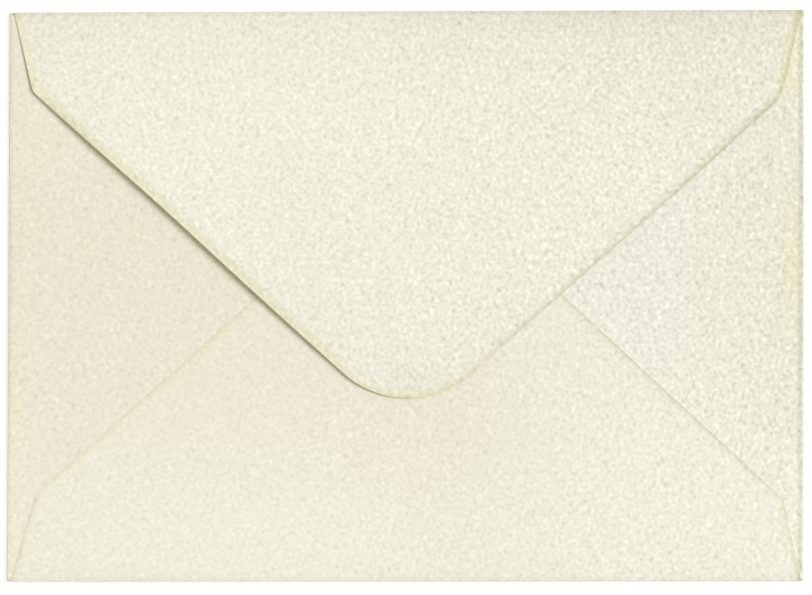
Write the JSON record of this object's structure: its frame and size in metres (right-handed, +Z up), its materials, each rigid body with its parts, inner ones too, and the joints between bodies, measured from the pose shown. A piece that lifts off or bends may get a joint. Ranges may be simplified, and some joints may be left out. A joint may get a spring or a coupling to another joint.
{
  "type": "paper envelope",
  "caption": "Flat paper envelope folded from one sheet: side flaps under a pasted bottom flap, and a deep, round-tipped seal flap folded down unsealed.",
  "frame": {"origin": "centre of the envelope's outline, on the underside of the front panel, which lies on the table", "axes": "+X along the top fold, to the right as seen from above, +Y up the envelope from the bottom fold to the top fold, +Z up, out of the flap side"},
  "size_m": [0.175, 0.125, 0.0018],
  "materials": {
    "paper": "satin"
  },
  "bodies": {
    "root": {"envelope": "paper"}
  },
  "joints": []
}
